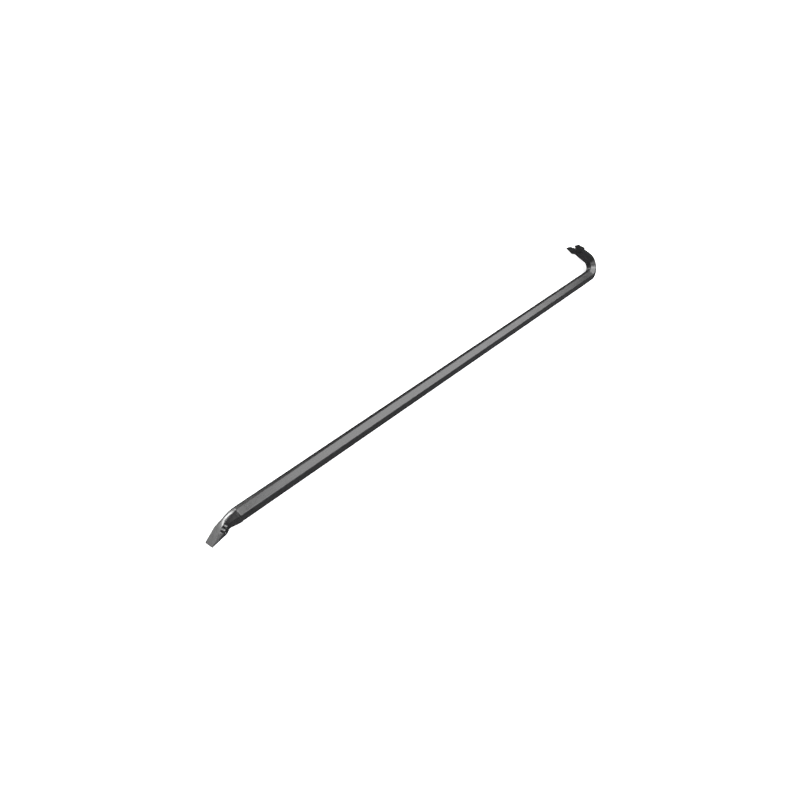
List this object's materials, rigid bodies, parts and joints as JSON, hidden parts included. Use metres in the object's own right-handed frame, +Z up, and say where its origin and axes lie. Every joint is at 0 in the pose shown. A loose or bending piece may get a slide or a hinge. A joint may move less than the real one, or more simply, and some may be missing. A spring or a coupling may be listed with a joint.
{
  "type": "wrecking bar",
  "caption": "Hexagonal gooseneck wrecking bar with a slotted nail claw on the hooked end and an offset chisel with grip grooves on the other.",
  "frame": {"origin": "bottom centre of the bounding box, with the bar lying on its side on the plane z = 0", "axes": "+X along the shaft towards the nail claw, +Y to the side that the hook opens to, +Z up and square to the hook's plane"},
  "size_m": [0.8867, 0.0816, 0.0308],
  "materials": {
    "forged_steel": "satin black baked enamel over forged steel"
  },
  "bodies": {
    "root": {"shaft": "forged_steel", "gooseneck": "forged_steel", "claw_neck": "forged_steel", "nail_claw": "forged_steel", "chisel_neck": "forged_steel", "chisel_blade": "forged_steel"}
  },
  "joints": []
}
